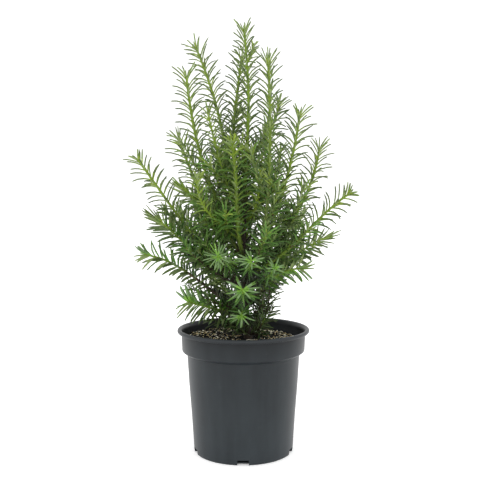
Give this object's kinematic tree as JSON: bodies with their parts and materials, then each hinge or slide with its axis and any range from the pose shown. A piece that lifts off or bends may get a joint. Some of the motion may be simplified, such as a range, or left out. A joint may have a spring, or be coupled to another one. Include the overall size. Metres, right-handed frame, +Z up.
{
  "type": "english yew in a nursery pot",
  "caption": "Young upright conifer with a leading stem, rising side shoots and curved needles, planted in compost in a round tapered pot with a stepped collar and rolled lip.",
  "frame": {"origin": "centre of the pot's flat underside", "axes": "+Z up along the pot's axis, -Y towards the front, +X to the right as seen from the front"},
  "size_m": [0.3192, 0.2354, 0.612],
  "materials": {
    "pot_plastic": "charcoal moulded plastic, low sheen",
    "compost": "moist dark compost with pale bark and straw chips",
    "bark": "thin brown bark, green on young wood",
    "young_needles": "fresh yellow-green needles, faint waxy sheen",
    "old_needles": "dark green needles, faint waxy sheen"
  },
  "bodies": {
    "root": {"nursery_pot": "pot_plastic", "compost": "compost", "trunk": "bark", "bough_back_low": "bark", "bough_back_mid": "bark", "bough_front_tall": "bark", "bough_left_foot": "bark", "bough_left_high": "bark", "bough_left_low": "bark", "bough_left_skirt": "bark", "bough_right_high": "bark", "bough_right_mid": "bark", "bough_right_skirt": "bark", "foliage_back_high_left": "young_needles", "foliage_back_high_right": "young_needles", "foliage_back_low": "young_needles", "foliage_back_low_left": "young_needles", "foliage_back_low_right": "young_needles", "foliage_back_mid": "young_needles", "foliage_back_mid_left": "young_needles", "foliage_back_mid_right": "young_needles", "foliage_back_top": "young_needles", "foliage_front_centre": "young_needles", "foliage_front_foot": "young_needles", "foliage_front_high": "young_needles", "foliage_front_left": "young_needles", "foliage_front_low": "young_needles", "foliage_front_right": "young_needles", "foliage_front_tall": "young_needles", "foliage_heart_lower_1": "old_needles", "foliage_heart_lower_2": "old_needles", "foliage_heart_lower_3": "old_needles", "foliage_heart_middle_1": "old_needles", "foliage_heart_middle_2": "old_needles", "foliage_heart_middle_3": "old_needles", "foliage_heart_upper_1": "old_needles", "foliage_heart_upper_2": "old_needles", "foliage_heart_upper_3": "old_needles", "foliage_leader": "young_needles", "foliage_left_foot": "young_needles", "foliage_left_front": "young_needles", "foliage_left_front_foot": "young_needles", "foliage_left_high": "young_needles", "foliage_left_inner": "young_needles", "foliage_left_low": "young_needles", "foliage_left_mid": "young_needles", "foliage_left_near": "young_needles", "foliage_left_skirt": "young_needles", "foliage_left_top": "young_needles", "foliage_right_base": "young_needles", "foliage_right_foot": "young_needles", "foliage_right_high": "young_needles", "foliage_right_inner": "young_needles", "foliage_right_low": "young_needles", "foliage_right_mid": "young_needles", "foliage_right_skirt": "young_needles", "foliage_right_small": "young_needles", "foliage_right_top": "young_needles"}
  },
  "joints": []
}
